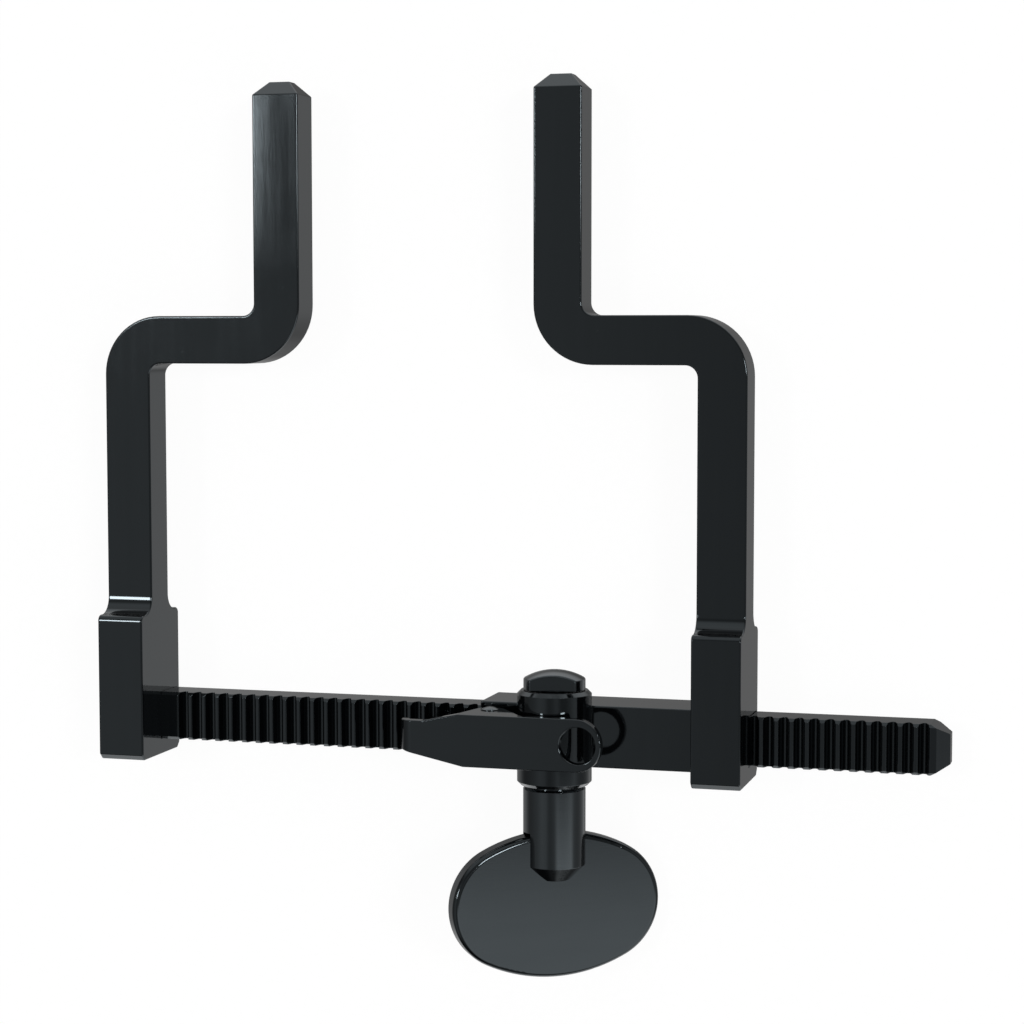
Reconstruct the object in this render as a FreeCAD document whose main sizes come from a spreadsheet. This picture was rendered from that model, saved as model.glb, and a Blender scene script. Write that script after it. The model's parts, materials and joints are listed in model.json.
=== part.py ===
"""Self retaining retractor: a toothed bar, a fixed arm and an arm driven by a pinion.

Lengths are in millimetres.  The instrument lies on its back.  Positions below are
written in the bar's frame: X runs along the bar and is 0 where the plain stretch
ends and the teeth begin, Y is 0 on the bar's lower edge and points to the prongs,
Z is 0 on the plane that the backs of the boxes rest on.  Every piece is then moved
so that the middle of the whole instrument stands over the origin.
"""
import FreeCAD, Part
import math
import os
import re

import Sketcher

# Driving sizes: name, value, meaning
SIZES = (
    ("gear_module", 0.8, "module of the rack teeth and of the pinion"),
    ("flank_angle", 20.0, "pressure angle of the rack teeth, degrees"),
    ("groove_count", 52, "tooth gaps along the bar"),
    ("groove_depth", 1.74, "depth of a tooth gap"),
    ("crest_flat", 0.457, "flat on top of a rack tooth"),
    ("crest_edge", 0.11, "bevel beside that flat"),
    ("floor_edge", 0.16, "bevel in each corner of a tooth gap's floor"),
    ("bar_height", 8.3, "bar, across Y"),
    ("bar_depth", 6.96, "bar, across Z"),
    ("bar_bevel", 0.5, "bevel along the bar's four edges"),
    ("bar_lift", 1.2, "bar's back above the resting plane"),
    ("plain_length", 3.2, "plain bar between the fixed box and the first gap"),
    ("end_length", 3.07, "bar beyond the last gap"),
    ("end_taper", 2.05, "bevel in front and behind, at the bar's free end"),
    ("end_slope", 3.0, "taper above and below that end, along X"),
    ("end_drop", 1.7, "height that this taper takes on each side"),
    ("box_width", 8.2, "box and upright of an arm, across X"),
    ("box_depth", 15.77, "box, across Z"),
    ("box_bottom", 2.7, "box below the bar's lower edge"),
    ("box_bevel", 0.95, "bevel under the box"),
    ("box_top", 22.4, "shelf on top of the box above the bar's lower edge"),
    ("shelf_round", 1.0, "rounding of the shelf's front and back edges"),
    ("flare_radius", 2.9, "hollow rounding from the shelf to the upright"),
    ("box_wall", 1.2, "wall that closes the bar's pocket in the fixed box"),
    ("arm_depth", 7.08, "arm, across Z"),
    ("run_top", 73.79, "upper edge of the arm's cross run"),
    ("run_width", 8.13, "cross run, across Y"),
    ("prong_reach", 19.3, "from the box to the near side of the prong"),
    ("prong_width", 8.17, "prong, across X"),
    ("prong_top", 113.15, "tip of the prongs above the bar's lower edge"),
    ("prong_taper", 2.28, "taper round the prong's tip"),
    ("outer_bend", 10.0, "outside radius of the arm's bends"),
    ("inner_bend", 2.1, "inside radius of the arm's bends"),
    ("edge_round", 0.3, "rounding of the edges of arms, housing and lever"),
    ("bar_pin_radius", 1.0, "pin that locks the bar in the fixed box"),
    ("bar_pin_length", 6.5, "its length"),
    ("bar_pin_spread", 3.9, "distance between the two pins"),
    ("channel_gap", 0.1, "clearance round the bar in the sliding pieces"),
    ("rest_groove", 27, "tooth gap that faces the pinion in the stored pose"),
    ("housing_left", 13.06, "housing's free end left of the pinion axis"),
    ("housing_right", 23.8, "joint of housing and moving arm right of that axis"),
    ("housing_bottom", 0.9, "housing below the bar's lower edge"),
    ("housing_top", 9.49, "housing's upper edge above the bar's lower edge"),
    ("housing_depth", 10.51, "housing, across Z"),
    ("barrel_radius", 6.2, "barrel round the pinion"),
    ("barrel_bottom", 3.7, "barrel's lower end below the bar's lower edge"),
    ("barrel_top", 12.05, "barrel's upper end above the bar's lower edge"),
    ("barrel_bevel", 0.6, "bevel of both ends of the barrel"),
    ("link_pin_radius", 0.75, "pins between housing and moving arm"),
    ("link_pin_length", 8.0, "their length"),
    ("link_pin_spread", 5.6, "distance between them"),
    ("pinion_teeth", 10, "teeth of the pinion"),
    ("pinion_tip", 4.6, "radius over the pinion's teeth"),
    ("pinion_root", 3.1, "radius between the pinion's teeth"),
    ("tooth_slant", 0.42, "width lost on each side of a pinion tooth per length outward"),
    ("pinion_backlash", 0.1, "each side of a pinion tooth stays this clear"),
    ("journal_radius", 4.8, "plain ends of the pinion"),
    ("journal_gap", 0.06, "radial running clearance of the journals"),
    ("mesh_gap", 0.3, "journals stay this far from the bar along Y"),
    ("stem_radius", 5.19, "stem below the barrel"),
    ("stem_gap", 0.4, "groove between barrel and stem"),
    ("stem_bottom", 19.6, "stem's end below the bar's lower edge"),
    ("stem_bevel", 0.3, "bevel of the stem's upper end"),
    ("stem_point", 2.5, "bevel of the stem's lower end"),
    ("neck_radius", 4.35, "floor of the groove above the stem"),
    ("cap_radius", 5.15, "head of the cap screw"),
    ("cap_gap", 0.15, "head above the barrel"),
    ("cap_side", 1.75, "upright side of the head"),
    ("cap_dome", 1.42, "rise of the domed top"),
    ("cap_flat", 3.45, "flats of the head, from its axis"),
    ("cap_turn", 9.0, "turn of the flats in the stored pose, degrees"),
    ("cap_round", 0.4, "rounding of the head's edges"),
    ("screw_radius", 2.0, "shank of the cap screw"),
    ("screw_length", 7.5, "its length"),
    ("key_length", 36.1, "oval key plate, long way"),
    ("key_height", 24.4, "oval key plate, across Y"),
    ("key_top", 11.58, "plate's upper edge below the bar's lower edge"),
    ("key_end_radius", 10.4, "radius of the oval's two ends"),
    ("key_thickness", 3.8, "thickness of the plate"),
    ("key_rim", 0.9, "rounding of its rim"),
    ("key_turn", 33.5, "turn of the plate in the stored pose, degrees"),
    ("pivot_left", 10.49, "lever pivot left of the pinion axis"),
    ("pivot_front", 13.5, "lever pivot above the resting plane"),
    ("lever_front", 6.3, "front face of the lever in front of its pivot"),
    ("lever_thickness", 1.5, "sheet of the lever"),
    ("lever_drop", 0.15, "lever's lower edge below the bar's"),
    ("lever_height", 8.7, "lever, across Y"),
    ("eye_reach", 16.46, "centre of the eye right of the pivot"),
    ("eye_radius", 3.03, "hole in the eye"),
    ("eye_rim", 3.95, "centre of the eye to the lever's end"),
    ("lever_round", 0.2, "rounding of the lever's edges"),
    ("heel_left", 14.2, "heel of the lever left of its pivot"),
    ("heel_round", 2.2, "outside radius of the heel"),
    ("tip_grooves", 9, "tooth gaps between the pinion axis and the engaged tip"),
    ("engage_turn", 7.0, "turn that brings the tip into its gap, degrees"),
    ("tip_width", 0.55, "pawl tip along the bar"),
    ("tip_height", 3.0, "pawl tip and its leg, across Y"),
    ("tip_gap", 0.25, "pawl tip clear of the tooth crests"),
    ("taper_low", 2.45, "height lost below the lever's left end"),
    ("taper_high", 1.3, "height lost above it"),
    ("taper_start", 2.9, "where the lower taper starts, left of the pivot"),
    ("taper_end", 10.0, "where the upper taper ends, left of the pivot"),
    ("ear_left", 3.9, "ears' root and the upper taper's start, left of the pivot"),
    ("ear_right", 6.4, "ears' root right of the pivot"),
    ("ear_radius", 2.55, "round end of the ears"),
    ("ear_thickness", 1.2, "thickness of an ear"),
    ("lug_radius", 2.45, "round end of the housing's tongue"),
    ("lug_gap", 0.15, "tongue below the upper ear"),
    ("lug_height", 3.4, "tongue, across Y"),
    ("pin_radius", 1.0, "pivot pin"),
    ("pin_gap", 0.05, "radial running clearance of the tongue on the pin"),
    ("pin_head_radius", 1.45, "heads of the pivot pin"),
    ("pin_head", 0.55, "height of the upper head"),
    ("pin_rim", 0.12, "upright rim of the upper head"),
    ("pin_foot", 0.35, "height of the lower head"),
    ("wire_radius", 0.22, "wire of the lever's spring"),
    ("coil_radius", 1.55, "spring, from its axis to the middle of the wire"),
    ("coil_pitch", 0.5, "rise of one turn"),
    ("coil_turns", 3.0, "turns of the spring"),
    ("coil_gap", 0.15, "spring above the lower ear"),
    ("leg_gap", 0.35, "legs of the spring clear of lever and housing"),
)

doc = FreeCAD.newDocument("retractor")
sheet = doc.addObject("Spreadsheet::Sheet", "Sizes")
for row, (alias, number, meaning) in enumerate(SIZES, start=1):
    sheet.set(f"A{row}", alias)
    sheet.set(f"B{row}", str(number))
    sheet.set(f"C{row}", meaning)
    sheet.setAlias(f"B{row}", alias)
doc.recompute()


def linked(formula):
    """Write a formula of size names as an expression on the sheet's cells."""
    return re.sub(r"[a-z]+(?:_[a-z]+)+", lambda found: "Sizes." + found.group(0), formula)


def value(formula):
    """Number that a formula of size names has now."""
    return float(sheet.evalExpression(linked(formula)))


# Places that several pieces share, in the bar's frame
PITCH = "(pi * gear_module)"
GAP_MIDDLE = f"(({PITCH} - crest_flat) / 2)"
TEETH_END = f"(groove_count * {PITCH} - crest_flat)"
BAR_END = f"({TEETH_END} + end_length)"
BAR_FRONT = "(bar_lift + bar_depth)"
FIXED_INNER = "(0 - plain_length)"
FIXED_OUTER = "(0 - plain_length - box_width)"
AXIS_X = f"({GAP_MIDDLE} + rest_groove * {PITCH})"
PITCH_RADIUS = "(gear_module * pinion_teeth / 2)"
AXIS_Z = f"({BAR_FRONT} - gear_module + {PITCH_RADIUS})"
HOUSING_LEFT = f"({AXIS_X} - housing_left)"
MOVING_INNER = f"({AXIS_X} + housing_right)"
MOVING_OUTER = f"({MOVING_INNER} + box_width)"
PIVOT_X = f"({AXIS_X} - pivot_left)"
RUN_LOW = "(run_top - run_width)"
ARM_BACK = "((box_depth - arm_depth) / 2)"
ARM_FRONT = "((box_depth + arm_depth) / 2)"
LEVER_LOW = "(0 - lever_drop)"
LEVER_TOP = "(lever_height - lever_drop)"
LEVER_BACK = "(lever_front - lever_thickness)"
TIP_RISE = f"(pivot_front - {BAR_FRONT} - tip_gap)"
TIP_LEFT = (
    f"((tip_grooves * {PITCH} - pivot_left + {TIP_RISE} * sin(engage_turn))"
    " / cos(engage_turn))"
)
LUG_TOP = f"({LEVER_TOP} - ear_thickness - lug_gap)"
LUG_LOW = f"({LUG_TOP} - lug_height)"
KEY_LOW = "(key_top + key_height)"
LINK_PIN_Z = f"(({BAR_FRONT} + channel_gap + housing_depth) / 2)"
MIDDLE_X = f"(({BAR_END} + {FIXED_OUTER}) / 2)"
MIDDLE_Y = f"((prong_top - {KEY_LOW}) / 2)"

# Each plane: its role in a body's origin and the sign of its normal on the world axis
PLANES = {"YZ": ("YZ_Plane", 1), "XZ": ("XZ_Plane", -1), "XY": ("XY_Plane", 1)}

# Two points closer than this are the same point
SAME_POINT = 1e-4
# Two faces meet in a sharp edge where their normals differ by more, in degrees
SHARP = 30.0
# A cutting outline reaches this far past the piece
OVERRUN = "bar_pin_radius"


class Piece:
    """One body of the instrument, built from outlines on its origin planes."""

    volume = 0.0

    def __init__(self, label, at_x="0", at_z="0"):
        self.body = doc.addObject("PartDesign::Body", label)
        self.body.Label = label
        self.body.setExpression("Placement.Base.x", linked(f"{at_x} - {MIDDLE_X}"))
        self.body.setExpression("Placement.Base.y", linked(f"0 - {MIDDLE_Y}"))
        self.body.setExpression("Placement.Base.z", linked(at_z))

    def origin(self, role):
        """Plane or axis of the body's origin."""
        return next(item for item in self.body.Origin.OriginFeatures if item.Role == role)

    def sketch(self, plane, level, *outlines):
        """Sketch on a plane at a level along its world axis, holding the outlines."""
        role, sign = PLANES[plane]
        sketch = self.body.newObject("Sketcher::SketchObject", "Outline")
        sketch.AttachmentSupport = [(self.origin(role), "")]
        sketch.MapMode = "FlatFace"
        offset = level if sign > 0 else f"0 - ({level})"
        sketch.setExpression("AttachmentOffset.Base.z", linked(offset))
        for outline in outlines:
            outline.draw(sketch)
        doc.recompute()
        return sketch

    def pad(self, plane, low, high, *outlines):
        """Add material between two levels along the plane's world axis."""
        start = low if PLANES[plane][1] > 0 else high
        feature = self.body.newObject("PartDesign::Pad", "Pad")
        feature.Profile = self.sketch(plane, start, *outlines)
        feature.setExpression("Length", linked(f"({high}) - ({low})"))
        return self.finished(feature, 1)

    def pocket(self, plane, low, high, *outlines):
        """Remove material between two levels along the plane's world axis."""
        start = high if PLANES[plane][1] > 0 else low
        feature = self.body.newObject("PartDesign::Pocket", "Pocket")
        feature.Profile = self.sketch(plane, start, *outlines)
        feature.setExpression("Length", linked(f"({high}) - ({low})"))
        return self.finished(feature, -1)

    def revolve(self, outline):
        """Turn a half section drawn in the XY plane about the Y axis."""
        feature = self.body.newObject("PartDesign::Revolution", "Turned")
        feature.Profile = self.sketch("XY", "0", outline)
        feature.ReferenceAxis = (self.origin("Y_Axis"), [""])
        feature.Angle = 360.0
        return self.finished(feature, 1)

    def repeat_along_x(self, feature, count, spacing):
        """Repeat a feature in a straight row."""
        pattern = self.body.newObject("PartDesign::LinearPattern", "Row")
        pattern.Originals = [feature]
        pattern.Direction = (self.origin("X_Axis"), [""])
        pattern.setExpression("Length", linked(f"({count} - 1) * {spacing}"))
        pattern.setExpression("Occurrences", linked(count))
        self.body.Tip = pattern
        return self.finished(pattern, -1)

    def repeat_round_y(self, feature, count):
        """Repeat a feature round the Y axis."""
        pattern = self.body.newObject("PartDesign::PolarPattern", "Ring")
        pattern.Originals = [feature]
        pattern.Axis = (self.origin("Y_Axis"), [""])
        pattern.Angle = 360.0
        pattern.setExpression("Occurrences", linked(count))
        self.body.Tip = pattern
        return self.finished(pattern, 1)

    def dress(self, kind, formula, chosen):
        """Round (Fillet) or bevel (Chamfer) the edges that the test picks."""
        base = self.body.Tip
        names = [
            f"Edge{number}"
            for number, edge in enumerate(base.Shape.Edges, start=1)
            if chosen(base.Shape, edge)
        ]
        if not names:
            raise RuntimeError(f"{self.body.Label}: no edge to dress")
        feature = self.body.newObject(f"PartDesign::{kind}", kind)
        feature.Base = (base, names)
        feature.setExpression("Radius" if kind == "Fillet" else "Size", linked(formula))
        return self.finished(feature, 0)

    def finished(self, feature, change):
        """Recompute, and make sure that the volume went the way it should."""
        before = self.volume
        doc.recompute()
        if feature.Shape.isNull() or not feature.Shape.isValid():
            raise RuntimeError(f"{self.body.Label}: {feature.Name} has no valid shape")
        if (feature.Shape.Volume - before) * change < 0 or (
            change and feature.Shape.Volume == before
        ):
            raise RuntimeError(f"{self.body.Label}: {feature.Name} changed nothing")
        self.volume = feature.Shape.Volume
        return feature


class Outline:
    """Closed outline; each corner is a pair of formulas, a side may be an arc."""

    def __init__(self, corners, arcs=None):
        self.corners = corners
        self.arcs = arcs or {}

    def draw(self, sketch):
        """Add the outline to a sketch and tie every corner to the sheet."""
        first = sketch.GeometryCount
        points = [FreeCAD.Vector(value(x), value(y), 0) for x, y in self.corners]
        total = len(points)
        for side, start in enumerate(points):
            end = points[(side + 1) % total]
            if side in self.arcs:
                radius, (toward_x, toward_y) = self.arcs[side]
                middle = arc_middle(start, end, value(radius), toward_x, toward_y)
                sketch.addGeometry(Part.Arc(start, middle, end), False)
            else:
                sketch.addGeometry(Part.LineSegment(start, end), False)
        for side, corner in enumerate(self.corners):
            here = first + side
            start_vertex, end_vertex = vertices(sketch, here, points[side])
            following = first + (side + 1) % total
            next_start, _ = vertices(sketch, following, points[(side + 1) % total])
            sketch.addConstraint(
                Sketcher.Constraint("Coincident", here, end_vertex, following, next_start)
            )
            for kind, formula in zip(("DistanceX", "DistanceY"), corner):
                tie(sketch, (kind, -1, 1, here, start_vertex), formula)
        for side, (radius, _) in self.arcs.items():
            tie(sketch, ("Radius", first + side), radius)


class Disc:
    """Full circle about a centre."""

    def __init__(self, centre_x, centre_y, radius):
        self.centre = (centre_x, centre_y)
        self.radius = radius

    def draw(self, sketch):
        """Add the circle to a sketch and tie it to the sheet."""
        middle = FreeCAD.Vector(value(self.centre[0]), value(self.centre[1]), 0)
        circle = Part.Circle(middle, FreeCAD.Vector(0, 0, 1), value(self.radius))
        number = sketch.addGeometry(circle, False)
        for kind, formula in zip(("DistanceX", "DistanceY"), self.centre):
            tie(sketch, (kind, -1, 1, number, 3), formula)
        tie(sketch, ("Radius", number), self.radius)


def tie(sketch, constraint, formula):
    """Add a dimension to a sketch and bind it to the sheet."""
    index = sketch.addConstraint(Sketcher.Constraint(*constraint, value(formula)))
    sketch.setExpression(f"Constraints[{index}]", linked(formula))


def vertices(sketch, number, start):
    """Start and end vertex of a side, which an arc may store the other way round."""
    side = sketch.Geometry[number]
    return (1, 2) if side.StartPoint.distanceToPoint(start) < SAME_POINT else (2, 1)


def arc_middle(start, end, radius, toward_x, toward_y):
    """Middle of the shorter arc from start to end that bulges the given way."""
    chord = end - start
    half = chord.Length / 2
    rise = radius - math.sqrt(radius * radius - half * half)
    across = FreeCAD.Vector(-chord.y, chord.x, 0).normalize()
    if across.x * toward_x + across.y * toward_y < 0:
        across = across * -1
    return (start + end) * 0.5 + across * rise


def rectangle(x_low, x_high, y_low, y_high):
    """Outline with sides along the sketch's axes."""
    return Outline([(x_low, y_low), (x_high, y_low), (x_high, y_high), (x_low, y_high)])


def middle_of(edge):
    """Point halfway along an edge."""
    return edge.valueAt((edge.FirstParameter + edge.LastParameter) / 2)


def runs_along(edge, axis):
    """True for a straight edge that is parallel to the named axis."""
    if len(edge.Vertexes) != 2:
        return False
    span = edge.Vertexes[1].Point - edge.Vertexes[0].Point
    straight = abs(edge.Length - span.Length) < SAME_POINT
    return straight and abs(getattr(span, axis)) > 0.999 * span.Length


def edges_at(axis, places):
    """Test for straight edges along an axis through one of the given places."""
    spots = [{key: value(formula) for key, formula in place.items()} for place in places]

    def chosen(shape, edge):
        if not runs_along(edge, axis):
            return False
        point = middle_of(edge)
        return any(
            all(abs(getattr(point, key) - level) < SAME_POINT for key, level in spot.items())
            for spot in spots
        )

    return chosen


def edges_level(axis, *places):
    """Test for edges whose middle stands at one of the places along the axis."""
    levels = [value(place) for place in places]

    def chosen(shape, edge):
        point = middle_of(edge)
        return any(abs(getattr(point, axis) - level) < SAME_POINT for level in levels)

    return chosen


def outward_corner(shape, edge):
    """True where two faces meet in a sharp edge that points outward."""
    faces = shape.ancestorsOfType(edge, Part.Face)
    if len(faces) != 2:
        return False
    point = middle_of(edge)
    first, second = [face.normalAt(*face.Surface.parameter(point)) for face in faces]
    if math.degrees(first.getAngle(second)) < SHARP:
        return False
    step = (first - second).normalize() * value("crest_edge")
    return not shape.isInside(point + step, SAME_POINT, False)


def corners_above(level):
    """Test for outward corners whose middle stands above a level along Y."""
    low = value(level) + SAME_POINT

    def chosen(shape, edge):
        return middle_of(edge).y > low and outward_corner(shape, edge)

    return chosen


def make_rack_bar():
    """Toothed bar with bevelled edges and a tapered free end."""
    piece = Piece("rack_bar")
    tail = f"{FIXED_OUTER} + box_wall"
    piece.pad("YZ", tail, BAR_END, rectangle("0", "bar_height", "bar_lift", BAR_FRONT))
    bevels = []
    for z, inner_z in (
        ("bar_lift", "bar_lift + end_taper"), (BAR_FRONT, f"{BAR_FRONT} - end_taper")
    ):
        bevels.append(Outline([(BAR_END, inner_z), (BAR_END, z), (f"{BAR_END} - end_taper", z)]))
    piece.pocket("XZ", "0", "bar_height", *bevels)
    tapers = []
    for y, inner_y in (("0", "end_drop"), ("bar_height", "bar_height - end_drop")):
        tapers.append(Outline([(BAR_END, inner_y), (BAR_END, y), (f"{BAR_END} - end_slope", y)]))
    piece.pocket("XY", "bar_lift", BAR_FRONT, *tapers)
    corners = []
    for y, y_step in (("0", "1"), ("bar_height", "-1")):
        for z, z_step in (("bar_lift", "1"), (BAR_FRONT, "-1")):
            inner_y = f"{y} + {y_step} * bar_bevel"
            inner_z = f"{z} + {z_step} * bar_bevel"
            corners.append(Outline([(y, z), (inner_y, z), (y, inner_z)]))
    piece.pocket("YZ", tail, BAR_END, *corners)
    piece.pocket("XZ", "0", "bar_height", rack_groove())
    piece.repeat_along_x(piece.body.Tip, "groove_count", PITCH)
    pocket_middle = f"({FIXED_OUTER} + box_width / 2)"
    for y in bar_pin_heights():
        piece.pocket(
            "XY", "bar_lift", "bar_pin_length", Disc(pocket_middle, y, "bar_pin_radius")
        )
    return piece


def rack_groove():
    """First tooth gap, with bevelled mouth and floor."""
    slope = "tan(flank_angle)"
    mouth = f"(({PITCH} - crest_flat) / 2 - crest_edge)"
    floor = f"({mouth} - groove_depth * {slope})"
    edge_x = f"({mouth} - crest_edge * {slope})"
    base_x = f"({floor} + floor_edge * {slope})"
    left = [
        (f"{GAP_MIDDLE} - {mouth} - crest_edge", BAR_FRONT),
        (f"{GAP_MIDDLE} - {edge_x}", f"{BAR_FRONT} - crest_edge"),
        (f"{GAP_MIDDLE} - {base_x}", f"{BAR_FRONT} - groove_depth + floor_edge"),
        (f"{GAP_MIDDLE} - {floor} + floor_edge", f"{BAR_FRONT} - groove_depth"),
    ]
    right = [
        (f"{GAP_MIDDLE} + {floor} - floor_edge", f"{BAR_FRONT} - groove_depth"),
        (f"{GAP_MIDDLE} + {base_x}", f"{BAR_FRONT} - groove_depth + floor_edge"),
        (f"{GAP_MIDDLE} + {edge_x}", f"{BAR_FRONT} - crest_edge"),
        (f"{GAP_MIDDLE} + {mouth} + crest_edge", BAR_FRONT),
    ]
    return Outline(left + right)


def bar_pin_heights():
    """Places along Y of the two pins that lock the bar."""
    return ["(bar_height - bar_pin_spread) / 2", "(bar_height + bar_pin_spread) / 2"]


def link_pin_heights():
    """Places along Y of the two pins between housing and moving arm."""
    return ["(bar_height - link_pin_spread) / 2", "(bar_height + link_pin_spread) / 2"]


def make_arm(label, outer, inner, sense):
    """Box, upright, cross run and prong of one arm; sense is the run's way along X."""
    piece = Piece(label)
    low_x, high_x = (outer, inner) if sense > 0 else (inner, outer)
    near = f"({inner} + {sense} * prong_reach)"
    far = f"({near} + {sense} * prong_width)"
    box = Outline([
        ("0 - box_bottom", "box_bevel"),
        ("0 - box_bottom + box_bevel", "0"),
        ("box_top", "0"),
        ("box_top", "box_depth"),
        ("0 - box_bottom + box_bevel", "box_depth"),
        ("0 - box_bottom", "box_depth - box_bevel"),
    ])
    piece.pad("YZ", low_x, high_x, box)
    strap = Outline([
        (outer, "0"),
        (inner, "0"),
        (inner, RUN_LOW),
        (far, RUN_LOW),
        (far, "prong_top"),
        (near, "prong_top"),
        (near, "run_top"),
        (outer, "run_top"),
    ])
    piece.pad("XY", ARM_BACK, ARM_FRONT, strap)
    bends_out = [{"x": outer, "y": "run_top"}, {"x": far, "y": RUN_LOW}]
    bends_in = [{"x": inner, "y": RUN_LOW}, {"x": near, "y": "run_top"}]
    piece.dress("Fillet", "outer_bend", edges_at("z", bends_out))
    piece.dress("Fillet", "inner_bend", edges_at("z", bends_in))
    piece.dress("Chamfer", "prong_taper", edges_level("y", "prong_top"))
    flare = [{"y": "box_top", "z": ARM_BACK}, {"y": "box_top", "z": ARM_FRONT}]
    shelf = [{"y": "box_top", "z": "0"}, {"y": "box_top", "z": "box_depth"}]
    piece.dress("Fillet", "flare_radius", edges_at("x", flare))
    piece.dress("Fillet", "shelf_round", edges_at("x", shelf))
    piece.dress("Fillet", "edge_round", outward_corner)
    return piece


def make_fixed_arm():
    """Arm whose box holds the bar in a closed pocket."""
    piece = make_arm("fixed_arm", FIXED_OUTER, FIXED_INNER, 1)
    pocket_end = f"{FIXED_OUTER} + box_wall"
    piece.pocket("YZ", pocket_end, FIXED_INNER, bar_section("0"))
    pocket_middle = f"({FIXED_OUTER} + box_width / 2)"
    holes = [Disc(pocket_middle, y, "bar_pin_radius") for y in bar_pin_heights()]
    piece.pocket("XY", "0", "bar_lift", *holes)
    return piece


def bar_section(gap):
    """Section of the bar's channel, wider than the bar by the gap all round."""
    return rectangle(
        f"0 - {gap}", f"bar_height + {gap}", f"bar_lift - {gap}", f"{BAR_FRONT} + {gap}"
    )


def make_moving_arm():
    """Arm whose box slides on the bar."""
    piece = make_arm("moving_arm", MOVING_OUTER, MOVING_INNER, -1)
    piece.pocket("YZ", MOVING_INNER, MOVING_OUTER, bar_section("channel_gap"))
    holes = [Disc(y, LINK_PIN_Z, "link_pin_radius") for y in link_pin_heights()]
    piece.pocket("YZ", MOVING_INNER, f"{MOVING_INNER} + link_pin_length / 2", *holes)
    return piece


def make_bar_pins():
    """Two pins that lock the bar in the fixed box."""
    piece = Piece("bar_lock_pins")
    pocket_middle = f"({FIXED_OUTER} + box_width / 2)"
    discs = [Disc(pocket_middle, y, "bar_pin_radius") for y in bar_pin_heights()]
    piece.pad("XY", "0", "bar_pin_length", *discs)
    return piece


def make_link_pins():
    """Two pins that hold the housing on the moving arm."""
    piece = Piece("housing_pins")
    discs = [Disc(y, LINK_PIN_Z, "link_pin_radius") for y in link_pin_heights()]
    start = f"{MOVING_INNER} - link_pin_length / 2"
    piece.pad("YZ", start, f"{MOVING_INNER} + link_pin_length / 2", *discs)
    return piece


def make_housing():
    """Sleeve on the bar with the pinion's barrel and the lever's tongue."""
    piece = Piece("pinion_housing")
    section = rectangle("0 - housing_bottom", "housing_top", "0", "housing_depth")
    piece.pad("YZ", HOUSING_LEFT, MOVING_INNER, section)
    at_joint = edges_level("x", MOVING_INNER)
    piece.dress("Fillet", "edge_round", lambda shape, edge: not at_joint(shape, edge))
    tongue = rectangle(
        f"{PIVOT_X} - lug_radius", f"{PIVOT_X} + lug_radius", BAR_FRONT, "pivot_front"
    )
    piece.pad("XZ", LUG_LOW, LUG_TOP, tongue)
    piece.pad("XZ", LUG_LOW, LUG_TOP, Disc(PIVOT_X, "pivot_front", "lug_radius"))
    piece.pad("XZ", "0 - barrel_bottom", "barrel_top", Disc(AXIS_X, AXIS_Z, "barrel_radius"))
    piece.dress("Chamfer", "barrel_bevel", edges_level("y", "0 - barrel_bottom", "barrel_top"))
    piece.pocket("YZ", HOUSING_LEFT, MOVING_INNER, bar_section("channel_gap"))
    bore = Disc(AXIS_X, AXIS_Z, "journal_radius + journal_gap")
    piece.pocket("XZ", "0 - barrel_bottom", "barrel_top", bore)
    hole = Disc(PIVOT_X, "pivot_front", "pin_radius + pin_gap")
    piece.pocket("XZ", LUG_LOW, LUG_TOP, hole)
    holes = [Disc(y, LINK_PIN_Z, "link_pin_radius") for y in link_pin_heights()]
    piece.pocket("YZ", f"{MOVING_INNER} - link_pin_length / 2", MOVING_INNER, *holes)
    return piece


def make_pinion():
    """Pinion with its journals and the stem that the key plate turns."""
    piece = Piece("pinion_shaft", AXIS_X, AXIS_Z)
    stem_top = "0 - barrel_bottom - stem_gap"
    teeth_low = "0 - mesh_gap"
    teeth_high = "bar_height + mesh_gap"
    section = Outline([
        ("0", "0 - stem_bottom"),
        ("stem_radius - stem_point", "0 - stem_bottom"),
        ("stem_radius", "0 - stem_bottom + stem_point"),
        ("stem_radius", f"{stem_top} - stem_bevel"),
        ("stem_radius - stem_bevel", stem_top),
        ("neck_radius", stem_top),
        ("neck_radius", "0 - barrel_bottom"),
        ("journal_radius", "0 - barrel_bottom"),
        ("journal_radius", teeth_low),
        ("pinion_root", teeth_low),
        ("pinion_root", teeth_high),
        ("journal_radius", teeth_high),
        ("journal_radius", "barrel_top"),
        ("0", "barrel_top"),
    ])
    piece.revolve(section)
    at_pitch = f"({PITCH} / 4 - pinion_backlash)"
    at_root = f"({at_pitch} - pinion_backlash / 2)"
    at_tip = f"({at_pitch} - (pinion_tip - {PITCH_RADIUS}) * tooth_slant)"
    widest = f"(0 - {PITCH_RADIUS} + pinion_backlash * 2)"
    tooth = Outline([
        (f"0 - {at_root}", "0 - pinion_root + pinion_backlash"),
        (f"0 - {at_pitch}", widest),
        (f"0 - {at_tip}", "0 - pinion_tip"),
        (at_tip, "0 - pinion_tip"),
        (at_pitch, widest),
        (at_root, "0 - pinion_root + pinion_backlash"),
    ])
    piece.pad("XZ", teeth_low, teeth_high, tooth)
    piece.repeat_round_y(piece.body.Tip, "pinion_teeth")
    slot = turned_rectangle(
        "key_turn", f"0 - stem_radius - {OVERRUN}", f"stem_radius + {OVERRUN}",
        "0 - key_thickness / 2", "key_thickness / 2",
    )
    piece.pocket("XZ", "0 - stem_bottom", "0 - key_top", slot)
    screw = Disc("0", "0", "screw_radius")
    piece.pocket("XZ", "barrel_top + cap_gap - screw_length", "barrel_top", screw)
    return piece


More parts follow.
